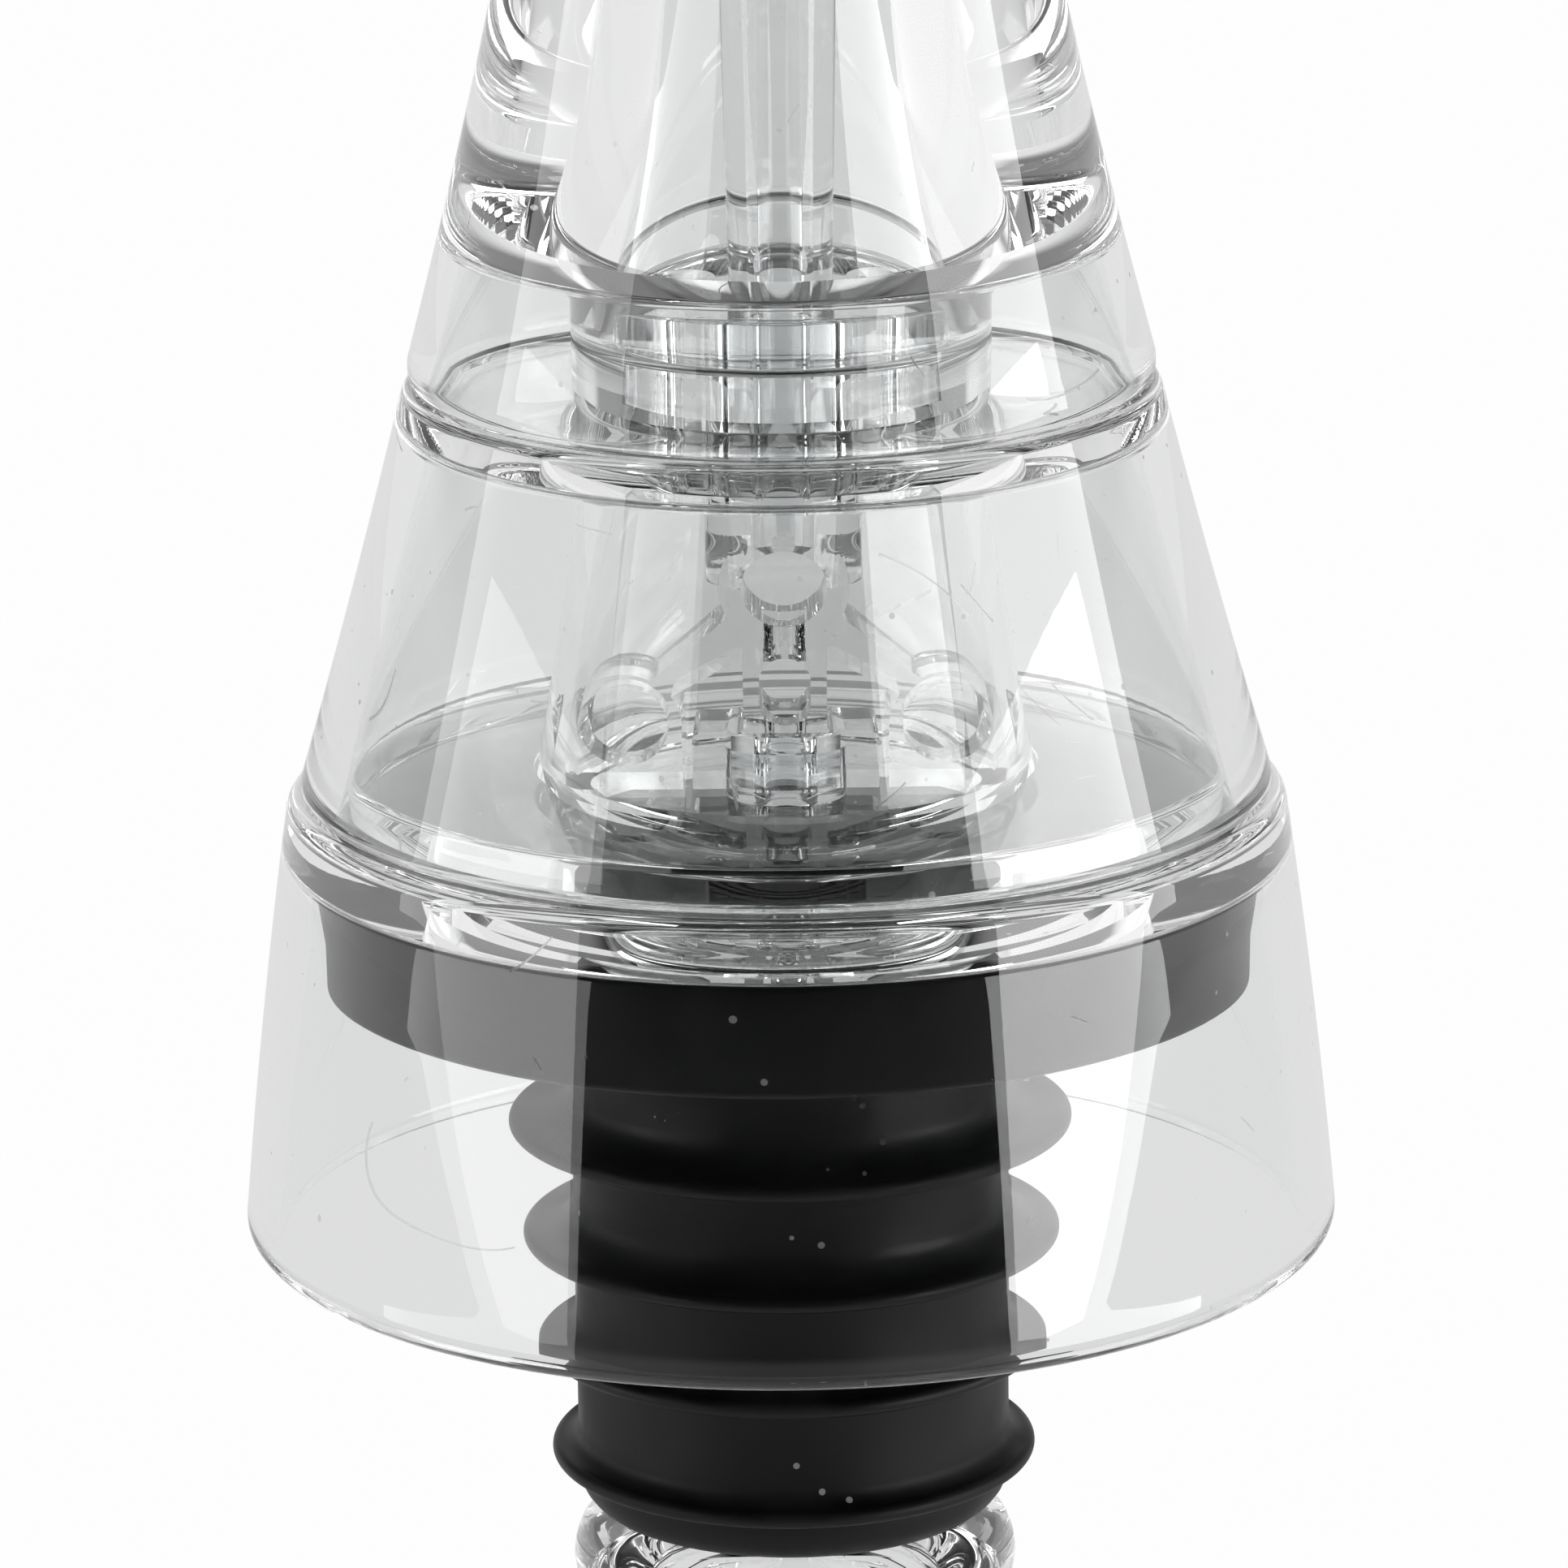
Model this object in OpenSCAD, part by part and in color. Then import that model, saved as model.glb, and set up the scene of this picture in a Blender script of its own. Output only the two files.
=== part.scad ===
// Wine aerator pourer: a tiered clear body and spout on a rubber bottle stopper.
// The axis is Z. The origin lies on the axis in the plane of the seat, the flat underside of
// the stopper's flange that rests on the bottle's lip. The front faces -Y, the lip points to +X.

/* [Bell skirt] */
// Diameter of the skirt at its rim
rim_d = 46; // [45:0.5:60]
// How far the rim hangs below the seat
rim_drop = 11.2; // [8:0.1:16]
// Thickness of the skirt's side
skirt_wall = 1.5; // [1:0.1:2]
// How far the side bows outwards at half its height
skirt_bow = 0.15; // [0:0.05:0.4]
// Thickness of the skirt's roof
roof_t = 2.9; // [2:0.1:5]
// How far the shoulder stands out past the mixing body
shoulder_step = 0.4; // [0.2:0.1:1]
// Rounding of the shoulder
shoulder_round = 0.8; // [0.3:0.1:1.2]

/* [Stopper] */
// Gap between the flange and the skirt, under the roof
flange_gap = 0.15; // [0.1:0.05:2]
// Thickness of the flange
flange_t = 4.9; // [3:0.1:8]
// Rounding of the flange's edges
flange_round = 0.4; // [0.2:0.1:0.8]
// Diameter of the plug between its fins
plug_d = 18.3; // [16:0.1:20]
// Diameter of the highest fin
fin_top_d = 23.6; // [21:0.1:25]
// Diameter of the lowest fin
fin_end_d = 20.5; // [20:0.1:24]
// Number of fins
fin_count = 4; // [2:1:5]
// How far the highest fin lies below the seat
fin_first = 6.3; // [5:0.1:7]
// Distance from one fin to the next
fin_pitch = 5; // [4:0.1:6]
// Thickness of a fin at its rim
fin_t = 0.7; // [0.5:0.05:1]
// Radius of the blend from a fin's upper side into the plug
fin_blend = 1.3; // [0.5:0.1:1.8]
// Length of the plug below the lowest fin's rim
plug_tail = 2.4; // [2:0.1:4]
// Rounding of the plug's lower edge
plug_round = 1.5; // [0.5:0.1:1.6]

/* [Inlet pipe] */
// Outer diameter of the pipe
pipe_d = 12; // [10:0.1:13]
// Bore of the pipe
pipe_bore = 8.8; // [7:0.1:10]
// How far the bead that holds the stopper on stands out from the pipe
bead_out = 3.4; // [2.5:0.1:4]
// Height of the bead, which is fully round
bead_h = 4.8; // [3:0.1:6]
// Length of the pipe below the bead
pipe_tail = 4; // [2:0.5:10]

/* [Mixing body] */
// Diameter at the base
mixing_base_d = 40.7; // [38:0.1:44]
// Diameter at the top
mixing_top_d = 31.2; // [28:0.1:34]
// Height from the skirt's roof to the spout
mixing_h = 17.3; // [16:0.1:24]
// How far the side bows inwards at half its height
mixing_bow = 0.1; // [0:0.05:0.5]
// Diameter of the chamber where it opens over the stopper
chamber_base_d = 21.8; // [21.2:0.1:24]
// Diameter of the chamber at its top
chamber_top_d = 15; // [14:0.1:17]
// Rounding of the clear bodies' outer edges
edge_round = 0.5; // [0.2:0.1:0.8]

/* [Spout] */
// How far the spout's base stands back from the mixing body
joint_step = 0.2; // [0:0.1:0.6]
// Height of the spout, to the tip of its lip
spout_h = 83.7; // [80:0.5:110]
// Diameter of the neck
neck_d = 14.6; // [13:0.1:18]
// Height of the neck above the spout's base
neck_h = 59; // [52:0.5:64]
// Outer diameter of the lip
lip_d = 18.4; // [16:0.1:24]
// Thickness of the lip's wall
lip_wall = 1.3; // [1:0.1:2]
// Slope of the lip's cut
lip_slope = 27; // [10:1:35]
// Thickness of the spout's floor
floor_t = 1.8; // [1.2:0.1:3]
// Diameter of the cavity above its floor
cavity_d = 14.6; // [14:0.1:16]
// Rounding of the cavity's floor
cavity_round = 0.7; // [0.2:0.1:0.8]
// Diameter of the cavity's throat
throat_d = 8; // [7.4:0.1:10]
// Height of the throat above the spout's base
throat_h = 31; // [28:0.5:36]

/* [Diffuser disc] */
// Gap between the disc and the cavity's side
disc_gap = 0.55; // [0.3:0.05:0.6]
// Thickness of the disc
disc_t = 2.4; // [1.6:0.1:3]
// Width of the cavity's floor round the boss, which carries the disc
ledge = 0.9; // [0.7:0.1:1.3]
// Length of the boss
boss_l = 4.1; // [3:0.1:5]
// Diameter of the two ports for the wine
port_d = 3.4; // [2.4:0.1:3.6]
// Wall between a port and the side of the boss
port_wall = 0.3; // [0.2:0.05:0.5]

/* [Air tubes] */
// Outer diameter of the upper tube at its foot
tube_foot_d = 4.3; // [4:0.1:4.6]
// Outer diameter of the upper tube at its open end
tube_top_d = 5.6; // [4.6:0.1:6]
// Length of the upper tube above the disc
tube_l = 31; // [20:1:60]
// Bore of both tubes
tube_bore = 1.8; // [1.2:0.1:2.4]
// Outer diameter of the lower tube
return_d = 4.9; // [4:0.1:5.4]
// Length of the lower tube below the pipe's end
return_tail = 11.7; // [6:0.1:40]
// Depth of the sockets that hold the tubes in the core
socket_l = 1.6; // [1:0.1:1.8]

/* [Aerator core] */
// Gap between the nozzles and the chamber
core_gap = 0.2; // [0.1:0.05:0.5]
// Thickness of the core from front to back
core_depth = 12.4; // [10:0.1:13]
// Width of a nozzle's column
nozzle_w = 4.5; // [4.2:0.1:4.6]
// Bore of a nozzle
nozzle_bore = 3.5; // [2:0.1:3.6]
// Height of the nozzles above the cup's rim
nozzle_h = 2.8; // [2.4:0.1:3.4]
// Outer diameter of the bulb
bulb_d = 5.3; // [4.6:0.1:5.6]
// Bore of the bulb
bulb_bore = 3.3; // [2:0.1:3.5]
// How far the bulb's middle lies below the top of the hub
bulb_drop = 3.7; // [3.4:0.1:4.4]
// Width of the bar under the bulb
bar_w = 3.4; // [3:0.1:3.8]
// Width of the slot in the bar
slot_w = 2; // [1:0.1:2.2]
// Height of the slot in the bar
slot_h = 2.9; // [2.4:0.1:3.4]
// Height of the slot's middle above the cup's rim
slot_rise = 4.5; // [4:0.1:5]
// Width of the feet beside the bar
foot_w = 2.1; // [1.6:0.1:2.3]
// Height of the feet
foot_h = 3.2; // [2:0.1:4]
// Thickness of the sloping webs
web_t = 0.9; // [0.6:0.1:1.2]
// Diameter of the hub round the air passage
hub_d = 6.4; // [6:0.1:7]

/* [Core cup] */
// How far the cup stands out past the core
cup_step = 0.2; // [0:0.1:0.6]
// Thickness of the cup's side and floor
cup_wall = 1.2; // [0.8:0.1:1.6]
// Height of the cup
cup_h = 3.1; // [2.6:0.1:4]
// Rounding of the cup's lower edge
cup_round = 1.1; // [0.4:0.1:1.4]
// Height of the gap between the stopper and the cup
cup_gap = 2.2; // [1.5:0.1:3]

/* [Hidden] */
$fn = 96;
clear_tint = "gainsboro";
rubber_tint = "#1c1c1c";
// Gap left between pieces that slide into each other
fit = 0.05;
// Extra length of a cutting tool past the face it cuts
over = 1;
// Handles of the spout's curves: how far a curve runs along its end's direction before it turns
base_handle = [-4.1, 15.4];
neck_handle = 26;
lip_handle = 18;
lip_lean = 0.4;
throat_handle = 16;
cavity_handle = [-1.3, 4.4];
// Rounding where the skirt's side meets its roof, inside
roof_round = 0.3;
// Rounding where the cup's side meets its floor, inside
cup_inner_round = 0.5;
// Least land left beside a rounding that its wall limits
land = 0.05;
// Upper corner of a web at the bar, as shares of the bar's width and the bulb, and the web's height there
web_start = [0.4, 0.3];
web_h = 1.6;
// Corners of a web at the nozzle, from the nozzle's middle, as shares of its width
web_low = [-0.4, 0.2];
web_high = [-0.25, 0.35];
// Segments in a small rounding and in a long curve
arc_steps = 6;
curve_steps = 24;

roof_z = flange_t;
mixing_z = roof_z + roof_t;
spout_z = mixing_z + mixing_h;
cavity_z = spout_z + floor_t;
disc_top_z = cavity_z + disc_t;
hub_top_z = cavity_z - boss_l;
cup_z = flange_t + cup_gap;
core_z = cup_z + cup_h;
nozzle_z = core_z + nozzle_h;
bulb_z = hub_top_z - bulb_drop;
slot_z = core_z + slot_rise;
plug_drop = fin_first + (fin_count - 1) * fin_pitch + plug_tail;
bead_z = -plug_drop - bead_h / 2;
pipe_end_z = -plug_drop - bead_h - pipe_tail;
return_end_z = pipe_end_z - return_tail;
shoulder_d = mixing_base_d + 2 * shoulder_step;
flange_d = shoulder_d - 2 * (skirt_wall + flange_gap);
spout_base_d = mixing_top_d - 2 * joint_step;
disc_d = cavity_d - 2 * disc_gap;
boss_d = cavity_d - 2 * ledge;
bead_d = pipe_d + 2 * bead_out;
port_pitch = boss_d - port_d - 2 * port_wall;

// Points on an arc round [cx, cz], from angle a0 to angle a1
function arc(cx, cz, r, a0, a1) =
    [for (i = [0:arc_steps]) let (a = a0 + (a1 - a0) * i / arc_steps) [cx + r * cos(a), cz + r * sin(a)]];

// Points on a straight side that bows sideways by bow at its middle
function bowed(p, q, bow) =
    [for (i = [0:arc_steps]) let (t = i / arc_steps) p * (1 - t) + q * t + [bow * 4 * t * (1 - t), 0]];

// Points on a cubic curve from p to s that leaves towards q and arrives from r
function curve(p, q, r, s) =
    [for (i = [0:curve_steps]) let (t = i / curve_steps, u = 1 - t)
        p * u * u * u + 3 * q * u * u * t + 3 * r * u * t * t + s * t * t * t];

// Radius of the conical chamber at height z
function chamber_r(z) =
    let (t = (z - roof_z) / (spout_z - roof_z)) (chamber_base_d * (1 - t) + chamber_top_d * t) / 2;

// Height of fin k's rim and its radius
function fin_z(k) = -fin_first - k * fin_pitch;
function fin_r(k) = (fin_top_d + (fin_end_d - fin_top_d) * k / (fin_count - 1)) / 2;

// Outline of fin k, from its blend down to the plug below it
function fin_outline(k) =
    let (r = fin_r(k), z = fin_z(k), h = fin_t / 2, p = plug_d / 2, b = min(fin_blend, r - h - p - land))
    concat(
        arc(p + b, z + h + b, b, 180, 270),
        arc(r - h, z, h, 90, -90),
        arc(p + h, z - 2 * h, h, 90, 180));

// The core clears the chamber at the top of its nozzles
core_d = 2 * (chamber_r(nozzle_z + nozzle_w / 2) - core_gap);
cup_d = core_d + 2 * cup_step;
nozzle_pitch = core_d - nozzle_w;

module revolve(points) {
    rotate_extrude() polygon(points);
}

module clear() {
    color(clear_tint, 0.45) children();
}

module bell_skirt() {
    side_r = shoulder_d / 2;
    turn_z = mixing_z - shoulder_round;
    rim_tip = skirt_wall / 2;
    tip_z = rim_tip - rim_drop;
    inner_r = side_r - skirt_wall;
    clear() revolve(concat(
        [[chamber_r(mixing_z), mixing_z]],
        arc(side_r - shoulder_round, turn_z, shoulder_round, 90, 0),
        bowed([side_r, turn_z], [rim_d / 2, tip_z], skirt_bow),
        arc(rim_d / 2 - rim_tip, tip_z, rim_tip, 0, -180),
        bowed([rim_d / 2 - skirt_wall, tip_z], [inner_r, roof_z - roof_round], skirt_bow),
        arc(inner_r - roof_round, roof_z - roof_round, roof_round, 0, 90),
        [[chamber_r(roof_z), roof_z]]));
}

module stopper() {
    r = flange_d / 2;
    edge = flange_round;
    outline = concat(
        [[pipe_d / 2 + fit, flange_t]],
        arc(r - edge, flange_t - edge, edge, 90, 0),
        arc(r - edge, edge, edge, 0, -90),
        arc(plug_d / 2 + edge, -edge, edge, 90, 180),
        [for (k = [0:fin_count - 1]) each fin_outline(k)],
        arc(plug_d / 2 - plug_round, plug_round - plug_drop, plug_round, 0, -90),
        [[pipe_d / 2 + fit, -plug_drop]]);
    color(rubber_tint) revolve(outline);
}

module inlet_pipe() {
    r = pipe_d / 2;
    bead = bead_h / 2;
    tip = (pipe_d - pipe_bore) / 4;
    clear() revolve(concat(
        [[pipe_bore / 2, flange_t], [r, flange_t], [r, -plug_drop]],
        arc(bead_d / 2 - bead, bead_z, bead, 90, -90),
        [[r, bead_z - bead]],
        arc(r - tip, pipe_end_z + tip, tip, 0, -90),
        [[pipe_bore / 2, pipe_end_z]]));
}

module mixing_body() {
    base_r = mixing_base_d / 2;
    top_r = mixing_top_d / 2;
    e = edge_round;
    clear() revolve(concat(
        [[chamber_r(mixing_z), mixing_z]],
        arc(base_r - e, mixing_z + e, e, -90, 0),
        bowed([base_r, mixing_z + e], [top_r, spout_z - e], -mixing_bow),
        arc(top_r - e, spout_z - e, e, 0, 90),
        [[chamber_r(spout_z), spout_z]]));
}

// The spout before its lip is cut
module spout_blank() {
    base_r = spout_base_d / 2;
    neck_r = neck_d / 2;
    neck_z = spout_z + neck_h;
    top_z = spout_z + spout_h + over;
    throat_r = throat_d / 2;
    throat_z = spout_z + throat_h;
    cavity_r = cavity_d / 2;
    floor_round = min(cavity_round, cavity_r - boss_d / 2 - 2 * fit);
    wall_z = cavity_z + floor_round;
    e = edge_round;
    revolve(concat(
        [[boss_d / 2 + fit, spout_z]],
        arc(base_r - e, spout_z + e, e, -90, 0),
        curve([base_r, spout_z + e], [base_r, spout_z + e] + base_handle,
              [neck_r, neck_z - neck_handle], [neck_r, neck_z]),
        curve([neck_r, neck_z], [neck_r, neck_z + lip_handle / 2],
              [neck_r + lip_lean, top_z - lip_handle / 2], [lip_d / 2, top_z]),
        curve([lip_d / 2 - lip_wall, top_z], [throat_r + 2 * lip_lean, top_z - lip_handle],
              [throat_r, throat_z + lip_handle], [throat_r, throat_z]),
        curve([throat_r, throat_z], [throat_r, throat_z - throat_handle],
              [cavity_r, wall_z] + cavity_handle, [cavity_r, wall_z]),
        arc(cavity_r - floor_round, wall_z, floor_round, 0, -90),
        [[boss_d / 2 + fit, cavity_z]]));
}

module spout_body() {
    clear() difference() {
        spout_blank();
        translate([lip_d / 2, 0, spout_z + spout_h])
            rotate([0, -lip_slope, 0])
            translate([-2 * lip_d, -lip_d, 0])
            cube([3 * lip_d, 2 * lip_d, lip_d]);
    }
}

module diffuser_disc() {
    edge = min(cavity_round, disc_gap);
    clear() difference() {
        revolve(concat(
            [[0, hub_top_z], [boss_d / 2, hub_top_z], [boss_d / 2, cavity_z]],
            arc(disc_d / 2 - edge, cavity_z + edge, edge, -90, 0),
            [[disc_d / 2, disc_top_z], [0, disc_top_z]]));
        translate([0, 0, hub_top_z - over]) cylinder(d = tube_foot_d + 2 * fit, h = boss_l + disc_t + 2 * over);
        for (side = [-1, 1])
            translate([side * port_pitch / 2, 0, hub_top_z - over])
                cylinder(d = port_d, h = boss_l + disc_t + 2 * over);
    }
}

module air_tube() {
    foot_z = hub_top_z - socket_l;
    end_z = disc_top_z + tube_l;
    foot_r = tube_foot_d / 2;
    tip = (tube_top_d - tube_bore) / 4;
    clear() revolve(concat(
        [[tube_bore / 2, foot_z], [foot_r, foot_z], [foot_r, disc_top_z], [tube_top_d / 2, end_z - tip]],
        arc(tube_top_d / 2 - tip, end_z - tip, tip, 0, 90),
        [[tube_bore / 2, end_z]]));
}

module return_tube() {
    r = return_d / 2;
    tip = (return_d - tube_bore) / 4;
    clear() revolve(concat(
        [[tube_bore / 2, core_z + socket_l], [r, core_z + socket_l]],
        arc(r - tip, return_end_z + tip, tip, 0, -90),
        [[tube_bore / 2, return_end_z]]));
}

// A bore through the core from front to back
module cross_bore(d, x, z) {
    translate([x, 0, z]) rotate([90, 0, 0]) cylinder(d = d, h = core_d, center = true);
}

// One side of the core's front view: column with arched top, foot and sloping web
module core_side() {
    nozzle = [nozzle_pitch / 2, nozzle_z];
    start = [bar_w * web_start[0], bulb_z - bulb_d * web_start[1]];
    translate(nozzle) circle(d = nozzle_w);
    translate([(nozzle_pitch - nozzle_w) / 2, core_z]) square([nozzle_w, nozzle_h]);
    translate([bar_w / 2, core_z]) square([foot_w, foot_h]);
    polygon([start, start - [0, web_t * web_h], nozzle + nozzle_w * web_low, nozzle + nozzle_w * web_high]);
}

// Front view of the core: its two sides and the bulb on its bar
module core_outline() {
    core_side();
    mirror([1, 0]) core_side();
    translate([0, bulb_z]) circle(d = bulb_d);
    translate([-bar_w / 2, core_z]) square([bar_w, bulb_z - core_z]);
}

module aerator_core() {
    clear() difference() {
        intersection() {
            union() {
                rotate([90, 0, 0]) linear_extrude(core_depth, center = true) core_outline();
                translate([0, 0, core_z]) cylinder(d = hub_d, h = hub_top_z - core_z);
            }
            translate([0, 0, core_z]) cylinder(d = core_d, h = hub_top_z - core_z);
        }
        for (side = [-1, 1]) cross_bore(nozzle_bore, side * nozzle_pitch / 2, nozzle_z);
        cross_bore(bulb_bore, 0, bulb_z);
        for (end = [-1, 1]) cross_bore(slot_w, 0, slot_z + end * (slot_h - slot_w) / 2);
        translate([0, 0, slot_z]) cube([slot_w, core_d, slot_h - slot_w], center = true);
        translate([0, 0, core_z - over]) cylinder(d = tube_bore, h = hub_top_z);
        translate([0, 0, core_z - over]) cylinder(d = return_d + 2 * fit, h = socket_l + over);
        translate([0, 0, hub_top_z - socket_l]) cylinder(d = tube_foot_d + 2 * fit, h = socket_l + over);
    }
}

module core_cup() {
    r = cup_d / 2;
    inner_r = r - cup_wall;
    clear() revolve(concat(
        [[return_d / 2 + fit, cup_z]],
        arc(r - cup_round, cup_z + cup_round, cup_round, -90, 0),
        [[r, core_z], [inner_r, core_z]],
        arc(inner_r - cup_inner_round, cup_z + cup_wall + cup_inner_round, cup_inner_round, 0, -90),
        [[return_d / 2 + fit, cup_z + cup_wall]]));
}

spout_body();
air_tube();
diffuser_disc();
mixing_body();
aerator_core();
core_cup();
return_tube();
bell_skirt();
stopper();
inlet_pipe();
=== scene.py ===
"""Looks of the clear wine aerator pourer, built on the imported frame.

Every length in the classes below is in millimetres and is turned into metres where a mesh is made.
"""

import logging
import math
from dataclasses import dataclass
from enum import Enum
from typing import Callable

import bpy
from mathutils import Matrix, Vector


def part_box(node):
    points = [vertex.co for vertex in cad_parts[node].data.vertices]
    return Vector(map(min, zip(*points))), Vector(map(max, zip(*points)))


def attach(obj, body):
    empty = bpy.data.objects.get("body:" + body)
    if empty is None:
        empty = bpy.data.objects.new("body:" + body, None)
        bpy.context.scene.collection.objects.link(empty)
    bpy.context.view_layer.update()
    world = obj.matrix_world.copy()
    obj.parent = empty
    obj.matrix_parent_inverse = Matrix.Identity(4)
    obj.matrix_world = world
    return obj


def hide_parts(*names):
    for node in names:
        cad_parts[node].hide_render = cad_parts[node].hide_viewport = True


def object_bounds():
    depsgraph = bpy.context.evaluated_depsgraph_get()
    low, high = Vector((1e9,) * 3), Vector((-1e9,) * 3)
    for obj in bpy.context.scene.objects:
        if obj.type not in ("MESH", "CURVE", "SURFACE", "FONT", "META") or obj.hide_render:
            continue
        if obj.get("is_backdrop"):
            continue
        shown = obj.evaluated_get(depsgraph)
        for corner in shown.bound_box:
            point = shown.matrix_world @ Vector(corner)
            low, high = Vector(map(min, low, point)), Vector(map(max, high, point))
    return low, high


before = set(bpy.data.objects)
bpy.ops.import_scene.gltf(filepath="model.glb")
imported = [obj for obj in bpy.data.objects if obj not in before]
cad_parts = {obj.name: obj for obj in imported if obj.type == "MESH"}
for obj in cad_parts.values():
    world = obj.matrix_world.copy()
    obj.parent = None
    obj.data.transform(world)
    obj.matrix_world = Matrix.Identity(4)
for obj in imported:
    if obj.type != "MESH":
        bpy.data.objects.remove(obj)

MM = 0.001
LOG = logging.getLogger("pourer")

# Points nearer than MERGE join, a full rounding stops SHORT_OF_HALF its wall, and a cut goes PAST its piece.
MERGE = 0.002
SHORT_OF_HALF = 0.01
PAST = 1.0


class Slot(Enum):
    """The record's material slots."""

    CLEAR = "clear_plastic"
    RUBBER = "black_rubber"


@dataclass(frozen=True)
class Knot:
    """One corner of a turned outline, with the radius that rounds it."""

    r: float
    z: float
    rounding: float = 0.0

    def place(self) -> Vector:
        """The corner's place in metres, on the +X side of the axis."""
        return Vector((self.r * MM, 0.0, self.z * MM))


def bowed(start: Knot, end: Knot, bow: float, steps: int = 12) -> list[Knot]:
    """Points of a side that bows sideways between two corners.

    Args:
        start: The corner that the side leaves.
        end: The corner that it reaches.
        bow: How far its middle stands out, in millimetres.
        steps: How many pieces the side has.

    Returns:
        Both corners with the points between them.
    """
    middle = []
    for i in range(1, steps):
        t = i / steps
        middle.append(
            Knot(
                start.r * (1 - t) + end.r * t + bow * 4 * t * (1 - t),
                start.z * (1 - t) + end.z * t,
            )
        )
    return [start, *middle, end]


def swept(
    start: Knot, leave: tuple[float, float], arrive: tuple[float, float], end: Knot, steps: int = 40
) -> list[Knot]:
    """Points of a cubic curve between two corners.

    Args:
        start: The corner that the curve leaves.
        leave: The handle at the start, as an offset from it.
        arrive: The handle at the end, as an offset from it.
        end: The corner that the curve reaches.
        steps: How many pieces the curve has.

    Returns:
        Both corners with the points between them.
    """
    p, s = Vector((start.r, start.z)), Vector((end.r, end.z))
    q, r = p + Vector(leave), s + Vector(arrive)
    middle = []
    for i in range(1, steps):
        t, u = i / steps, 1 - i / steps
        point = p * u**3 + q * 3 * u * u * t + r * 3 * u * t * t + s * t**3
        middle.append(Knot(point.x, point.y))
    return [start, *middle, end]


def arc(centre: Knot, r: float, start: float, end: float, steps: int = 12) -> list[Knot]:
    """Points of an arc.

    Args:
        centre: Its centre.
        r: Its radius.
        start: The angle of its first point in degrees, from the +X side up.
        end: The angle of its last point.
        steps: How many pieces the arc has.

    Returns:
        The points, both ends with them.
    """
    turns = [math.radians(start + (end - start) * i / steps) for i in range(steps + 1)]
    return [Knot(centre.r + r * math.cos(turn), centre.z + r * math.sin(turn)) for turn in turns]


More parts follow.
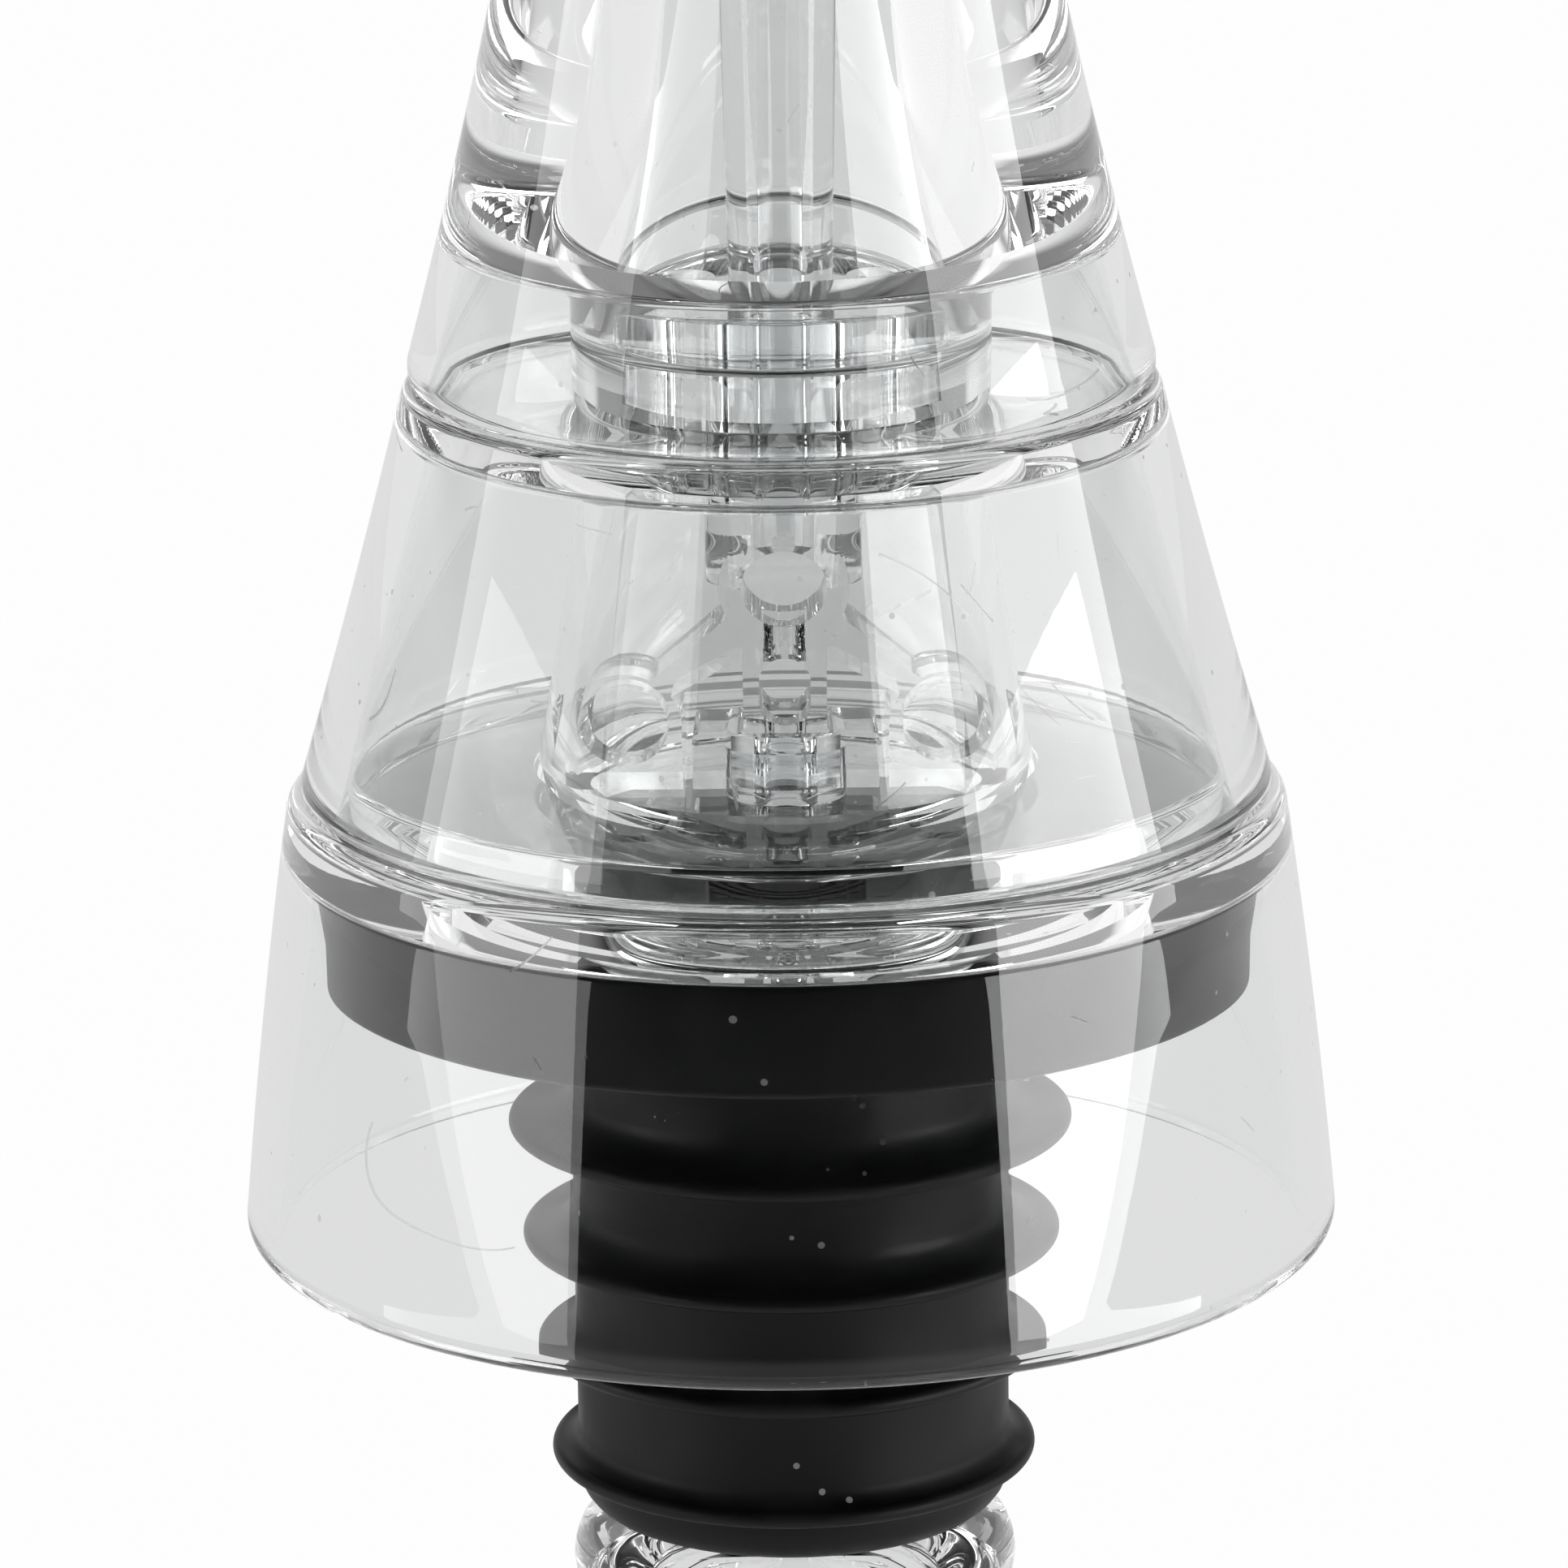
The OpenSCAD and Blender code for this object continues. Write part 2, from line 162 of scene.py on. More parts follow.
class Bench:
    """Modelling steps that the pieces share."""

    @staticmethod
    def only(piece: bpy.types.Object) -> None:
        """Make this piece the one active and selected object."""
        bpy.ops.object.select_all(action="DESELECT")
        piece.select_set(True)
        bpy.context.view_layer.objects.active = piece

    @staticmethod
    def name(piece: bpy.types.Object, name: str) -> None:
        """Name the object and its mesh."""
        piece.name = name
        piece.data.name = name

    @staticmethod
    def smooth(piece: bpy.types.Object, angle: float = 30.0) -> None:
        """Shade the piece smooth up to an angle between its faces, in degrees."""
        Bench.only(piece)
        bpy.ops.object.shade_smooth_by_angle(angle=math.radians(angle))

    @staticmethod
    def select_at(piece: bpy.types.Object, place: Vector, reach: float = 1e-6) -> None:
        """Select the vertex that lies at a place.

        Args:
            piece: The piece, in edit mode.
            place: The place in metres.
            reach: How far the vertex may be from it, in metres.
        """
        bpy.ops.mesh.select_all(action="DESELECT")
        bpy.ops.object.mode_set(mode="OBJECT")
        for vertex in piece.data.vertices:
            if (vertex.co - place).length < reach:
                vertex.select = True
        bpy.ops.object.mode_set(mode="EDIT")

    @staticmethod
    def draw(outline: list[Knot]) -> bpy.types.Object:
        """Merge a plane to one vertex and extrude it along an outline, back to its start.

        Args:
            outline: The outline's corners in order, without the first again at its end.

        Returns:
            The new object, in edit mode.
        """
        bpy.ops.object.select_all(action="DESELECT")
        bpy.ops.mesh.primitive_plane_add(size=MM, location=(0, 0, 0))
        piece = bpy.context.object
        bpy.ops.object.mode_set(mode="EDIT")
        bpy.ops.mesh.select_mode(type="VERT")
        bpy.ops.mesh.select_all(action="SELECT")
        bpy.ops.mesh.merge(type="CENTER")
        bpy.ops.transform.translate(value=outline[0].place())
        for before, after in zip(outline, outline[1:] + outline[:1]):
            step = after.place() - before.place()
            bpy.ops.mesh.extrude_vertices_move(TRANSFORM_OT_translate={"value": step})
        bpy.ops.mesh.select_all(action="SELECT")
        bpy.ops.mesh.remove_doubles(threshold=MERGE * MM)
        return piece

    @staticmethod
    def round_corners(piece: bpy.types.Object, outline: list[Knot], segments: int) -> None:
        """Bevel the outline's corners to their radii.

        Args:
            piece: The drawn outline, in edit mode.
            outline: The corners that it was drawn from.
            segments: How many pieces a rounded corner has.
        """
        count = len(outline)
        for i, knot in enumerate(outline):
            if knot.rounding:
                before = (outline[i - 1].place() - knot.place()).normalized()
                after = (outline[(i + 1) % count].place() - knot.place()).normalized()
                half = before.angle(after) / 2
                back = knot.rounding * MM / math.tan(half)
                Bench.select_at(piece, knot.place())
                bpy.ops.mesh.bevel(offset=back, segments=segments, affect="VERTICES")

    @staticmethod
    def turn(name: str, outline: list[Knot], steps: int = 144, segments: int = 6) -> bpy.types.Object:
        """Draw a closed outline, round its corners and spin it about the axis.

        Args:
            name: The piece's name.
            outline: The outline's corners in order, without the first again at its end.
            steps: How many steps the full turn has.
            segments: How many pieces a rounded corner has.

        Returns:
            The finished ring, shaded smooth.
        """
        piece = Bench.draw(outline)
        Bench.round_corners(piece, outline, segments)
        bpy.ops.mesh.select_all(action="SELECT")
        bpy.ops.mesh.spin(steps=steps, angle=math.tau, center=(0, 0, 0), axis=(0, 0, 1))
        bpy.ops.mesh.select_all(action="SELECT")
        bpy.ops.mesh.remove_doubles(threshold=MERGE * MM)
        bpy.ops.mesh.normals_make_consistent(inside=False)
        bpy.ops.object.mode_set(mode="OBJECT")
        Bench.smooth(piece)
        Bench.name(piece, name)
        return piece

    @staticmethod
    def rod(
        r: float, place: tuple[float, float, float], length: float, across: bool = False
    ) -> bpy.types.Object:
        """Add a round rod to cut or join with.

        Args:
            r: Its radius.
            place: Its middle.
            length: Its length.
            across: Whether it lies from front to back and not upright.

        Returns:
            The rod, with its place in its mesh.
        """
        bpy.ops.object.select_all(action="DESELECT")
        bpy.ops.mesh.primitive_cylinder_add(
            vertices=64,
            radius=r * MM,
            depth=length * MM,
            location=Vector(place) * MM,
            rotation=(math.pi / 2 if across else 0, 0, 0),
        )
        bpy.ops.object.transform_apply(location=True, rotation=True, scale=True)
        return bpy.context.object

    @staticmethod
    def drill(r: float, place: tuple[float, float, float], length: float) -> bpy.types.Object:
        """Add a rod that lies across, with a pointed end at the back, to bore a blind hole with.

        Args:
            r: Its radius.
            place: Where its straight part ends.
            length: The length of its straight part.

        Returns:
            The rod, with its place in its mesh.
        """
        x, y, z = place
        into = MERGE / 2
        straight = Bench.rod(r, (x, y - length / 2, z), length, True)
        bpy.ops.object.select_all(action="DESELECT")
        bpy.ops.mesh.primitive_cone_add(
            vertices=64,
            radius1=r * MM,
            radius2=0,
            depth=r * MM,
            location=Vector((x, y + r / 2 - into, z)) * MM,
            rotation=(-math.pi / 2, 0, 0),
        )
        bpy.ops.object.transform_apply(location=True, rotation=True, scale=True)
        point = bpy.context.object
        Bench.combine(straight, point, "UNION")
        return straight

    @staticmethod
    def lengthen(rod: bpy.types.Object, by: float, middle: float) -> None:
        """Make a rod that lies across into a slot, by moving its upper half up and its lower half down.

        Args:
            rod: The rod.
            by: How far each half moves, in metres.
            middle: The height of its middle, in metres.
        """
        for way in (-1, 1):
            Bench.only(rod)
            bpy.ops.object.mode_set(mode="EDIT")
            bpy.ops.mesh.select_all(action="DESELECT")
            bpy.ops.object.mode_set(mode="OBJECT")
            for vertex in rod.data.vertices:
                vertex.select = (vertex.co.z - middle) * way > 1e-6
            bpy.ops.object.mode_set(mode="EDIT")
            bpy.ops.transform.translate(value=(0, 0, way * by))
            bpy.ops.object.mode_set(mode="OBJECT")

    @staticmethod
    def combine(piece: bpy.types.Object, tool: bpy.types.Object, how: str = "DIFFERENCE") -> None:
        """Join a tool to a piece or cut it out, and remove the tool.

        Args:
            piece: The piece that is kept.
            tool: The tool.
            how: The boolean's operation.
        """
        Bench.only(piece)
        change = piece.modifiers.new("combine", "BOOLEAN")
        change.object = tool
        change.operation = how
        bpy.ops.object.modifier_apply(modifier=change.name)
        bpy.data.objects.remove(tool)


@dataclass(frozen=True)
class Span:
    """Outer radius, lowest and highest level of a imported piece, in millimetres."""

    r: float
    low: float
    high: float

    @classmethod
    def of(cls, node: str) -> "Span":
        """Read the span of a turned piece from the frame."""
        low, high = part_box(node)
        return cls(high.x / MM, low.z / MM, high.z / MM)


@dataclass(frozen=True)
class Taper:
    """A straight side between two levels."""

    low_r: float
    low_z: float
    high_r: float
    high_z: float

    def r(self, z: float) -> float:
        """Radius of the side at a height."""
        t = (z - self.low_z) / (self.high_z - self.low_z)
        return self.low_r * (1 - t) + self.high_r * t

    def knot(self, z: float, rounding: float = 0.0, out: float = 0.0) -> Knot:
        """A corner on the side at a height, or a distance out from it."""
        return Knot(self.r(z) + out, z, rounding)


class Net:
    """A node tree, with calls that add nodes and join them."""

    def __init__(self, tree: bpy.types.NodeTree) -> None:
        """Keep the tree."""
        self.tree = tree

    def add(self, kind: str, inputs: dict | None = None, **settings: object) -> bpy.types.Node:
        """Add a node, set it up and join what feeds it.

        Args:
            kind: The node's type, without its prefix.
            inputs: Values or other nodes' sockets, by the name or number of the input.
            settings: Properties of the node.

        Returns:
            The new node.
        """
        node = self.tree.nodes.new(f"ShaderNode{kind}")
        for key, value in settings.items():
            setattr(node, key, value)
        for key, value in (inputs or {}).items():
            if isinstance(value, bpy.types.NodeSocket):
                self.tree.links.new(value, node.inputs[key])
            else:
                node.inputs[key].default_value = value
        return node

    def math(self, operation: str, *values: object) -> bpy.types.NodeSocket:
        """Add a Math node on values or sockets and give its output."""
        return self.add("Math", dict(enumerate(values)), operation=operation).outputs[0]

    def fade(
        self, value: bpy.types.NodeSocket, span: tuple[float, float], to: tuple[float, float]
    ) -> bpy.types.NodeSocket:
        """Map a value smoothly from one span to another.

        Args:
            value: The socket to map.
            span: Where the change begins and ends.
            to: What it begins and ends with.

        Returns:
            The mapped value's socket.
        """
        inputs = {
            "Value": value,
            "From Min": span[0],
            "From Max": span[1],
            "To Min": to[0],
            "To Max": to[1],
        }
        return self.add("MapRange", inputs, interpolation_type="SMOOTHSTEP").outputs[0]

    @classmethod
    def group(cls, name: str, values: dict[str, float], output: str) -> tuple["Net", bpy.types.Node]:
        """Start a node group with a vector and some numbers as its inputs.

        Args:
            name: The group's name.
            values: Its number inputs and their defaults.
            output: The name of the one value that it puts out.

        Returns:
            The group's tree and its input node.
        """
        tree = bpy.data.node_groups.new(name, "ShaderNodeTree")
        number = "NodeSocketFloat"
        tree.interface.new_socket("Vector", in_out="INPUT", socket_type="NodeSocketVector")
        for key, value in values.items():
            socket = tree.interface.new_socket(key, in_out="INPUT", socket_type=number)
            socket.default_value = value
        tree.interface.new_socket(output, in_out="OUTPUT", socket_type=number)
        return cls(tree), tree.nodes.new("NodeGroupInput")

    def put_out(self, value: bpy.types.NodeSocket) -> bpy.types.NodeTree:
        """End the group with its output and give its tree."""
        self.tree.links.new(value, self.tree.nodes.new("NodeGroupOutput").inputs[0])
        return self.tree


class Effects:
    """Node groups that both finishes use, each made once."""

    def __init__(self) -> None:
        """Make the groups."""
        self.waves = self._waves()
        self.hairlines = self._hairlines()
        self.specks = self._specks()

    @staticmethod
    def _waves() -> bpy.types.NodeTree:
        """Soft unevenness of a moulded surface, as a height from 0 to 1."""
        net, given = Net.group("moulding_waves", {"Scale": 100.0, "Detail": 1.0}, "Height")
        inputs = {name: given.outputs[name] for name in ("Vector", "Scale", "Detail")}
        noise = net.add("TexNoise", {**inputs, "Roughness": 0.45})
        return net.put_out(noise.outputs["Fac"])

    @staticmethod
    def _hairlines() -> bpy.types.NodeTree:
        """Fine curved scratches, broken up along their length, as a mask."""
        values = {"Scale": 60.0, "Width": 0.003, "Cover": 0.4}
        net, given = Net.group("hairline_scratches", values, "Mask")
        vector = given.outputs["Vector"]
        bends = net.add("TexNoise", {"Vector": vector, "Scale": given.outputs["Scale"], "Detail": 0.0})
        off = net.math("ABSOLUTE", net.math("SUBTRACT", bends.outputs["Fac"], 0.5))
        line = net.math("LESS_THAN", off, given.outputs["Width"])
        finer = net.math("MULTIPLY", given.outputs["Scale"], 3.1)
        breaks = net.add("TexNoise", {"Vector": vector, "Scale": finer, "Detail": 1.0})
        kept = net.math("LESS_THAN", breaks.outputs["Fac"], given.outputs["Cover"])
        return net.put_out(net.math("MULTIPLY", line, kept))

    @staticmethod
    def _specks() -> bpy.types.NodeTree:
        """Scattered dust specks of mixed sizes, as a mask."""
        net, given = Net.group("dust_specks", {"Scale": 900.0, "Cover": 0.1, "Size": 0.16}, "Mask")
        inputs = {name: given.outputs[name] for name in ("Vector", "Scale")}
        cells = net.add("TexVoronoi", inputs)
        picks = net.add("SeparateColor", {"Color": cells.outputs["Color"]})
        chosen = net.math("LESS_THAN", picks.outputs[0], given.outputs["Cover"])
        reach = net.math("MULTIPLY", picks.outputs[1], given.outputs["Size"])
        spot = net.math("LESS_THAN", cells.outputs["Distance"], reach)
        return net.put_out(net.math("MULTIPLY", chosen, spot))


@dataclass(frozen=True)
class Finish:
    """What every finish has: a name and the groups that it draws on."""

    effects: Effects
    name: str

    def start(self) -> tuple[bpy.types.Material, Net, bpy.types.Node, bpy.types.NodeSocket]:
        """Make an empty material.

        Returns:
            The material, its tree, its Principled shader and the piece's own coordinates.
        """
        material = bpy.data.materials.new(self.name)
        material.use_nodes = True
        net = Net(material.node_tree)
        place = net.add("TexCoord").outputs["Object"]
        return material, net, material.node_tree.nodes["Principled BSDF"], place

    @staticmethod
    def use(
        net: Net, tree: bpy.types.NodeTree, vector: bpy.types.NodeSocket, **values: float
    ) -> bpy.types.NodeSocket:
        """Place a group in a material with its own values and give its output.

        Args:
            net: The material's tree.
            tree: The group.
            vector: The coordinates that it works on.
            values: Its number inputs.

        Returns:
            The group's output socket.
        """
        node = net.add("Group", node_tree=tree)
        net.tree.links.new(vector, node.inputs["Vector"])
        for key, value in values.items():
            node.inputs[key].default_value = value
        return node.outputs[0]


@dataclass(frozen=True)
class ClearAcrylic(Finish):
    """Polished clear acrylic with moulding waves, hairline scratches and a little dust."""

    colour: tuple[float, float, float] = (0.955, 0.96, 0.96)
    haze: tuple[float, float, float] = (0.9, 0.91, 0.91)
    ior: float = 1.49
    scratch_roughness: float = 0.35
    wave_scale: float = 90.0
    wave_height: float = 0.012
    line_scale: float = 70.0
    line_width: float = 0.0016
    line_cover: float = 0.36
    line_height: float = 0.002
    dust_scale: float = 1400.0
    dust_cover: float = 0.035
    dust_size: float = 0.2

    def build(self) -> bpy.types.Material:
        """Make the material."""
        material, net, shader, place = self.start()
        line_values = {"Scale": self.line_scale, "Width": self.line_width, "Cover": self.line_cover}
        dust_values = {"Scale": self.dust_scale, "Cover": self.dust_cover, "Size": self.dust_size}
        lines = self.use(net, self.effects.hairlines, place, **line_values)
        waves = self.use(net, self.effects.waves, place, Scale=self.wave_scale, Detail=1.0)
        dust = self.use(net, self.effects.specks, place, **dust_values)
        marks = net.math("MAXIMUM", lines, dust)
        tint = net.add("Mix", {0: marks, 6: (*self.colour, 1), 7: (*self.haze, 1)}, data_type="RGBA")
        net.tree.links.new(tint.outputs[2], shader.inputs["Base Color"])
        rough = net.math("MULTIPLY", marks, self.scratch_roughness)
        net.tree.links.new(rough, shader.inputs["Roughness"])
        uneven = net.add("Bump", {"Height": waves, "Strength": 1.0, "Distance": self.wave_height * MM})
        depth = {"Strength": 1.0, "Distance": self.line_height * MM}
        cut = net.add("Bump", {"Height": marks, **depth, "Normal": uneven.outputs[0]})
        net.tree.links.new(cut.outputs[0], shader.inputs["Normal"])
        shader.inputs["IOR"].default_value = self.ior
        shader.inputs["Transmission Weight"].default_value = 1.0
        return material


@dataclass(frozen=True)
class BlackRubber(Finish):
    """Matt black moulded rubber with a fine grain, worn patches and dust."""

    colour: tuple[float, float, float] = (0.004, 0.004, 0.0042)
    bloom: tuple[float, float, float] = (0.011, 0.011, 0.0115)
    dust: tuple[float, float, float] = (0.35, 0.35, 0.36)
    roughness: tuple[float, float] = (0.42, 0.6)
    patch_scale: float = 220.0
    worn_span: tuple[float, float] = (0.45, 0.7)
    rough_span: tuple[float, float] = (0.3, 0.7)
    grain_scale: float = 6000.0
    grain_height: float = 0.004
    speck_scale: float = 900.0
    speck_cover: float = 0.12
    speck_size: float = 0.16
    specular: float = 0.25

    def build(self) -> bpy.types.Material:
        """Make the material."""
        material, net, shader, place = self.start()
        speck_values = {"Scale": self.speck_scale, "Cover": self.speck_cover, "Size": self.speck_size}
        patches = self.use(net, self.effects.waves, place, Scale=self.patch_scale, Detail=4.0)
        grain = self.use(net, self.effects.waves, place, Scale=self.grain_scale, Detail=2.0)
        specks = self.use(net, self.effects.specks, place, **speck_values)
        worn = net.fade(patches, self.worn_span, (0.0, 1.0))
        base = net.add("Mix", {0: worn, 6: (*self.colour, 1), 7: (*self.bloom, 1)}, data_type="RGBA")
        dusty = net.add("Mix", {0: specks, 6: base.outputs[2], 7: (*self.dust, 1)}, data_type="RGBA")
        net.tree.links.new(dusty.outputs[2], shader.inputs["Base Color"])
        rough = net.fade(patches, self.rough_span, self.roughness)
        net.tree.links.new(rough, shader.inputs["Roughness"])
        shader.inputs["Specular IOR Level"].default_value = self.specular
        bump = net.add("Bump", {"Height": grain, "Strength": 1.0, "Distance": self.grain_height * MM})
        net.tree.links.new(bump.outputs[0], shader.inputs["Normal"])
        return material


# Air between glued or pressed faces, the stopper's collar over the pipe, and the usual clearance and roundings.
JOINT_FILM = 0.03
COLLAR_H = 1.4
FIT = 0.05
CORNER = 0.3
EDGE = 0.5


@dataclass
class Joints:
    """Levels and tapers that more than one tier works to."""

    floor_rise: float = 1.4
    shell_wall: float = 1.9
    mixing_top_d: float = 31.2
    chamber_base_r: float = 9.9
    chamber_top_r: float = 6.65
    chamber_wall: float = 1.0
    cavity_d: float = 14.6
    ledge: float = 0.9
    floor_t: float = 1.8

    def __post_init__(self) -> None:
        """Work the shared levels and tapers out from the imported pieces."""
        self.seat_z = Span.of("stopper").high
        self.mixing_z = Span.of("mixing_body").low
        self.floor_z = self.mixing_z + self.floor_rise
        self.spout_z = Span.of("mixing_body").high
        self.cavity_z = self.spout_z + self.floor_t
        self.boss_r = self.cavity_d / 2 - self.ledge
        self.chamber = Taper(self.chamber_base_r, self.seat_z, self.chamber_top_r, self.spout_z)
        base, top = Span.of("mixing_body").r, self.mixing_top_d / 2
        self.shell = Taper(base - self.shell_wall, self.mixing_z, top - self.shell_wall, self.spout_z)


@dataclass
class Tier:
    """A sub-assembly: it builds its pieces and dresses them in its finish."""

    joints: Joints
    finish: bpy.types.Material
    slot: Slot

    def makers(self) -> dict[str, Callable[[], bpy.types.Object]]:
        """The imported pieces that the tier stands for, each with the method that builds it."""
        raise NotImplementedError

    def dress(self, piece: bpy.types.Object, node: str) -> None:
        """Give a piece its finish and put it in its node's place.

        Args:
            piece: The finished mesh.
            node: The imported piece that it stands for.
        """
        piece.data.materials.clear()
        piece.data.materials.append(self.finish)
        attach(piece, "root")
        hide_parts(node)
        LOG.info("%s: %d faces", piece.name, len(piece.data.polygons))

    def build(self) -> None:
        """Build and dress every piece."""
        for node, make in self.makers().items():
            self.dress(make(), node)


@dataclass
class SpoutTier(Tier):
    """The spout with its cavity, the disc on the cavity's floor and the air tube."""

    base_handle: tuple[float, float] = (-4.1, 15.4)
    neck_d: float = 14.6
    neck_h: float = 59.0
    neck_handle: float = 26.0
    lip_d: float = 18.4
    lip_wall: float = 1.3
    lip_slope: float = 27.0
    lip_handle: float = 18.0
    lip_lean: float = 0.4
    throat_d: float = 8.0
    throat_h: float = 31.0
    throat_handle: float = 16.0
    groove_h: float = 6.0
    groove_wall: float = 1.0
    cavity_wall: float = 1.3
    cavity_round: float = 0.7
    cavity_handle: tuple[float, float] = (-1.3, 4.4)
    disc_edge: float = 0.2
    port_d: float = 3.4
    port_wall: float = 0.3
    tube_foot_d: float = 4.3
    tube_top_d: float = 5.6
    tube_bore: float = 1.8

    def makers(self) -> dict[str, Callable[[], bpy.types.Object]]:
        """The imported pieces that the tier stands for, each with the method that builds it."""
        return {
            "spout_body": self.spout_body,
            "air_tube": self.air_tube,
            "diffuser_disc": self.diffuser_disc,
        }

    def spout_outside(self, base: Knot, top: float) -> list[Knot]:
        """The spout's side from its base up past its lip.

        Args:
            base: Where the side begins, above the rounded base.
            top: The height at which the lip's curve ends.

        Returns:
            The side's points, from the base up.
        """
        neck = Knot(self.neck_d / 2, self.joints.spout_z + self.neck_h)
        lip = Knot(self.lip_d / 2, top)
        leave = (0.0, self.lip_handle / 2)
        arrive = (neck.r + self.lip_lean - lip.r, -self.lip_handle / 2)
        rise = swept(base, self.base_handle, (0.0, -self.neck_handle), neck)
        return [*rise[:-1], *swept(neck, leave, arrive, lip, 24)]

    def spout_inside(self, top: float) -> list[Knot]:
        """The bore from the lip down to the cavity's floor.

        Args:
            top: The height at which the lip's curve ends.

        Returns:
            The bore's points, from the top down.
        """
        rim = Knot(self.lip_d / 2 - self.lip_wall, top)
        throat = Knot(self.throat_d / 2, self.joints.spout_z + self.throat_h)
        cavity, floor = self.joints.cavity_d / 2, self.joints.cavity_z
        leave = (throat.r + 2 * self.lip_lean - rim.r, -self.lip_handle)
        fall = swept(rim, leave, (0.0, self.lip_handle), throat)
        widen = swept(throat, (0.0, -self.throat_handle), self.cavity_handle, Knot(cavity, floor + 1))
        corner = min(self.cavity_round, self.joints.ledge - 2 * FIT)
        return [*fall[:-1], *widen, Knot(cavity, floor, corner), Knot(self.joints.boss_r + FIT, floor)]

    def groove(self, low: float, base_r: float) -> list[Knot]:
        """The groove in the spout's underside, from its inner side out.

        Args:
            low: The height of the underside.
            base_r: The outer radius of the spout's base.

        Returns:
            The groove's four corners.
        """
        inner, outer = self.joints.cavity_d / 2 + self.cavity_wall, base_r - self.groove_wall
        roof = self.joints.spout_z + self.groove_h
        lean = self.base_handle[0] / self.base_handle[1] * self.groove_h
        return [
            Knot(inner, low),
            Knot(inner, roof, EDGE),
            Knot(outer + lean, roof, EDGE),
            Knot(outer, low),
        ]

    def spout_body(self) -> bpy.types.Object:
        """Spin the spout and cut its lip."""
        span = Span.of("spout_body")
        low, top = span.low + JOINT_FILM, span.high + PAST
        base = Knot(span.r, low + 2 * EDGE)
        outline = [
            Knot(self.joints.boss_r + FIT, low),
            *self.groove(low, span.r),
            Knot(span.r, low, EDGE),
            *self.spout_outside(base, top),
            *self.spout_inside(top),
        ]
        piece = Bench.turn("spout_body_clear", outline)
        slope = math.radians(self.lip_slope)
        Bench.only(piece)
        bpy.ops.object.mode_set(mode="EDIT")
        bpy.ops.mesh.select_all(action="SELECT")
        bpy.ops.mesh.bisect(
            plane_co=Vector((self.lip_d / 2, 0, span.high)) * MM,
            plane_no=(-math.sin(slope), 0, math.cos(slope)),
            use_fill=True,
            clear_outer=True,
        )
        bpy.ops.object.mode_set(mode="OBJECT")
        return piece

    def air_tube(self) -> bpy.types.Object:
        """Spin the tapered tube."""
        span = Span.of("air_tube")
        foot, bore = self.tube_foot_d / 2, self.tube_bore / 2
        tip = (self.tube_top_d - self.tube_bore) / 4 - SHORT_OF_HALF
        shelf = Span.of("diffuser_disc").high
        outline = [
            Knot(bore, span.low),
            Knot(foot, span.low),
            Knot(foot, shelf),
            Knot(self.tube_top_d / 2, span.high, tip),
            Knot(bore, span.high, tip),
        ]
        return Bench.turn("air_tube_clear", outline)

    def diffuser_disc(self) -> bpy.types.Object:
        """Spin the disc with its boss and drill its ports."""
        span = Span.of("diffuser_disc")
        floor = self.joints.cavity_z + JOINT_FILM
        hole, boss = self.tube_foot_d / 2 + FIT, self.joints.boss_r
        outline = [
            Knot(hole, span.low),
            Knot(boss, span.low, self.disc_edge),
            Knot(boss, floor),
            Knot(span.r, floor, EDGE),
            Knot(span.r, span.high, self.disc_edge),
            Knot(hole, span.high),
        ]
        piece = Bench.turn("diffuser_disc_clear", outline)
        for side in (-1, 1):
            x = side * (boss - self.port_d / 2 - self.port_wall)
            middle, length = (span.high + span.low) / 2, span.high - span.low + 2 * PAST
            Bench.combine(piece, Bench.rod(self.port_d / 2, (x, 0, middle), length))
        Bench.smooth(piece)
        return piece


